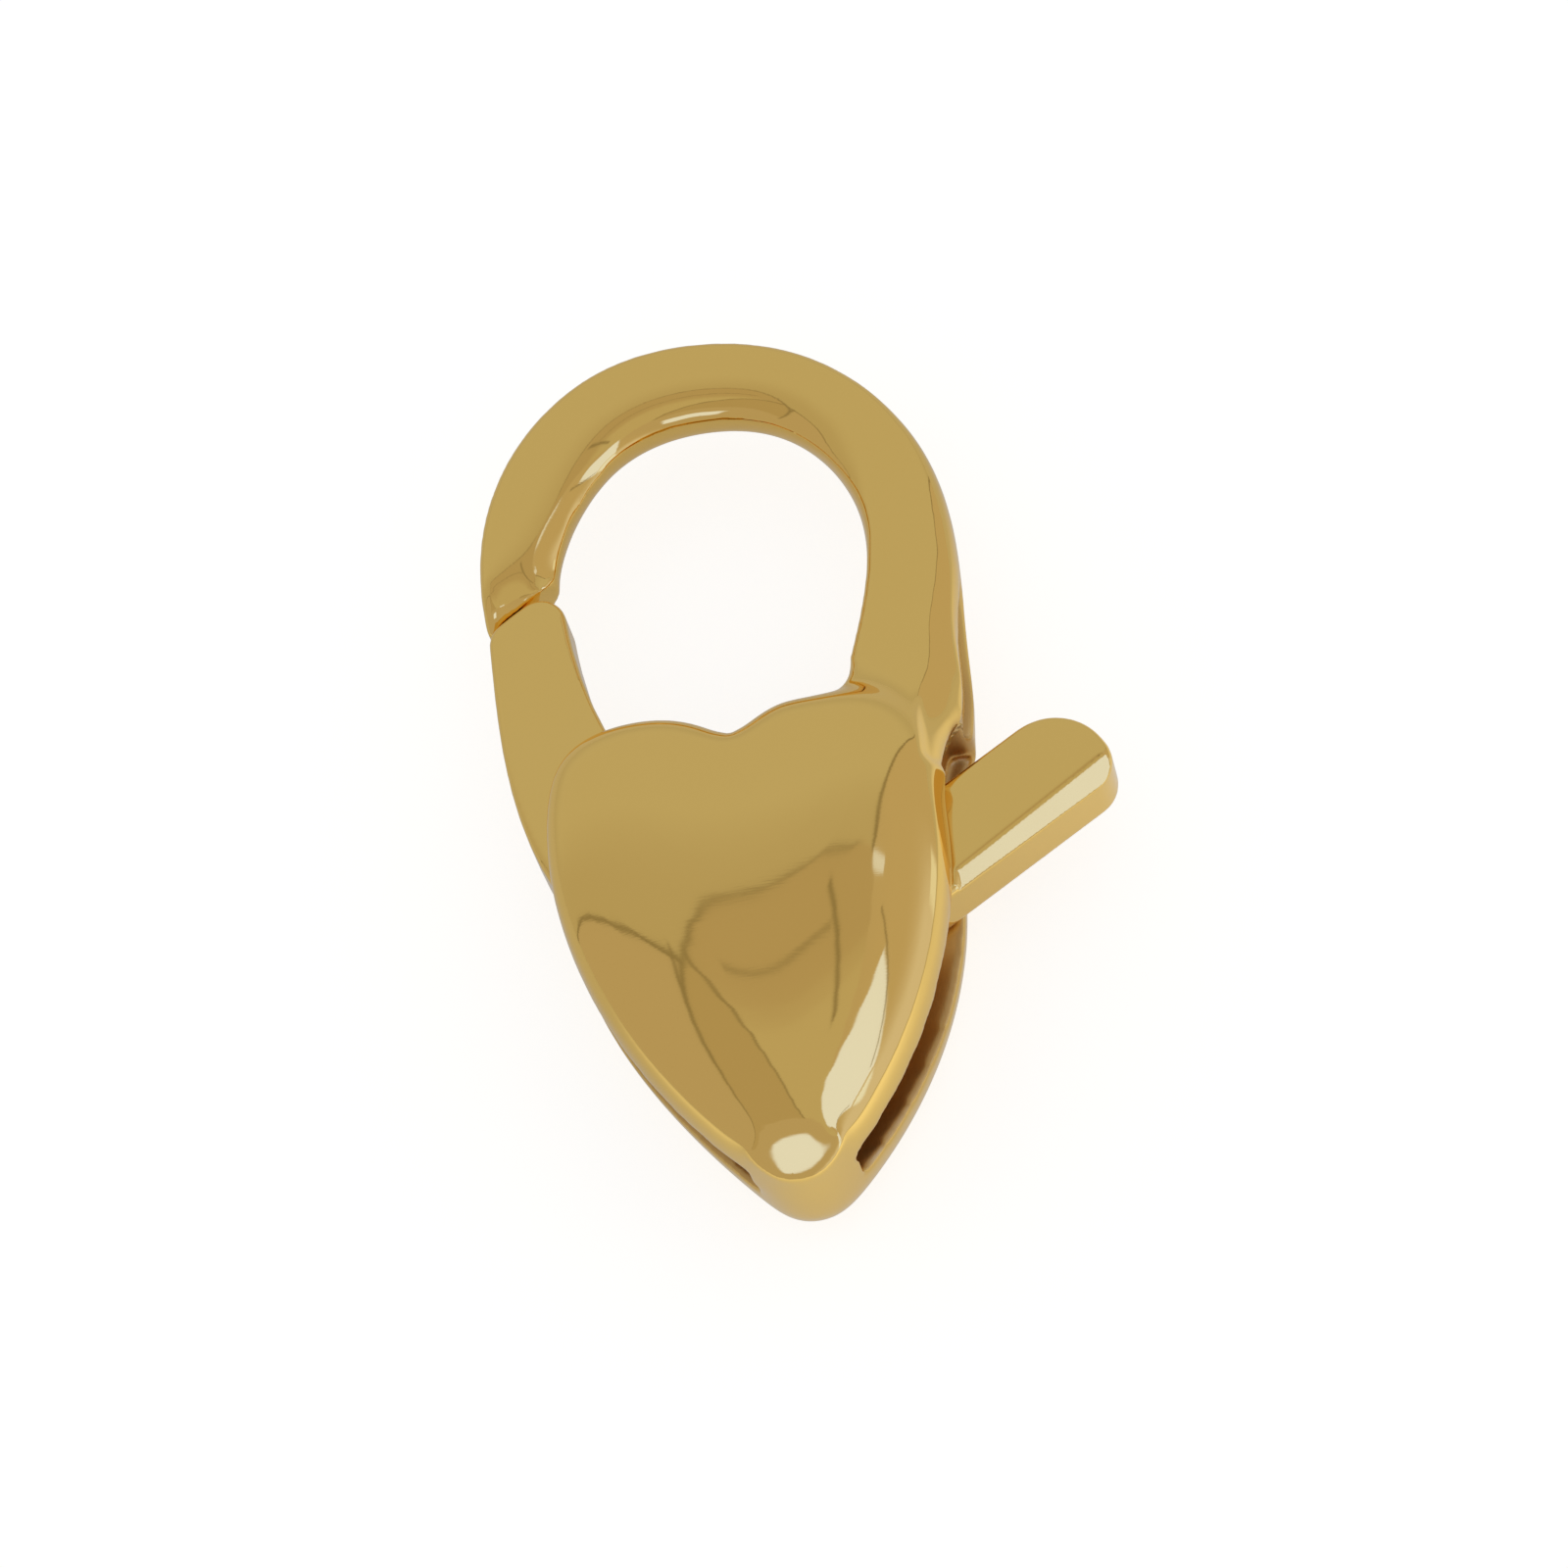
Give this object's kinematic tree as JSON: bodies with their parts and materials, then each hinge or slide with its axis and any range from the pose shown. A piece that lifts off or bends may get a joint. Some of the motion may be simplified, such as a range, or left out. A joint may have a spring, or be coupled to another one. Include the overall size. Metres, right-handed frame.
{
  "type": "lobster clasp",
  "caption": "Puffed heart lobster clasp in polished gold: a cast hook on a heart-shaped body, with a sprung lever whose thumb tab opens the gate.",
  "frame": {"origin": "middle of the whole clasp's box, on the surface that it lies on", "axes": "+X towards the thumb tab, +Y from the heart's tip to the hook's top, +Z out of the heart's front"},
  "size_m": [0.0096, 0.015, 0.0038],
  "materials": {
    "gold_body": "polished yellow gold",
    "gold_lever": "polished yellow gold",
    "gold_pin": "yellow gold, filed flush"
  },
  "bodies": {
    "clasp": {"body": "gold_body", "pivot_pin": "gold_pin"},
    "lever": {"lever": "gold_lever"}
  },
  "joints": [
    {"name": "lever_pivot", "type": "hinge", "parent": "clasp", "child": "lever", "pos_m": [-0.00036, -0.00321, 0.00175], "axis": [0, 0, 1], "range_deg": [-20, 0], "stiffness_Nm_per_rad": 0.006, "springref_deg": 20.05}
  ]
}
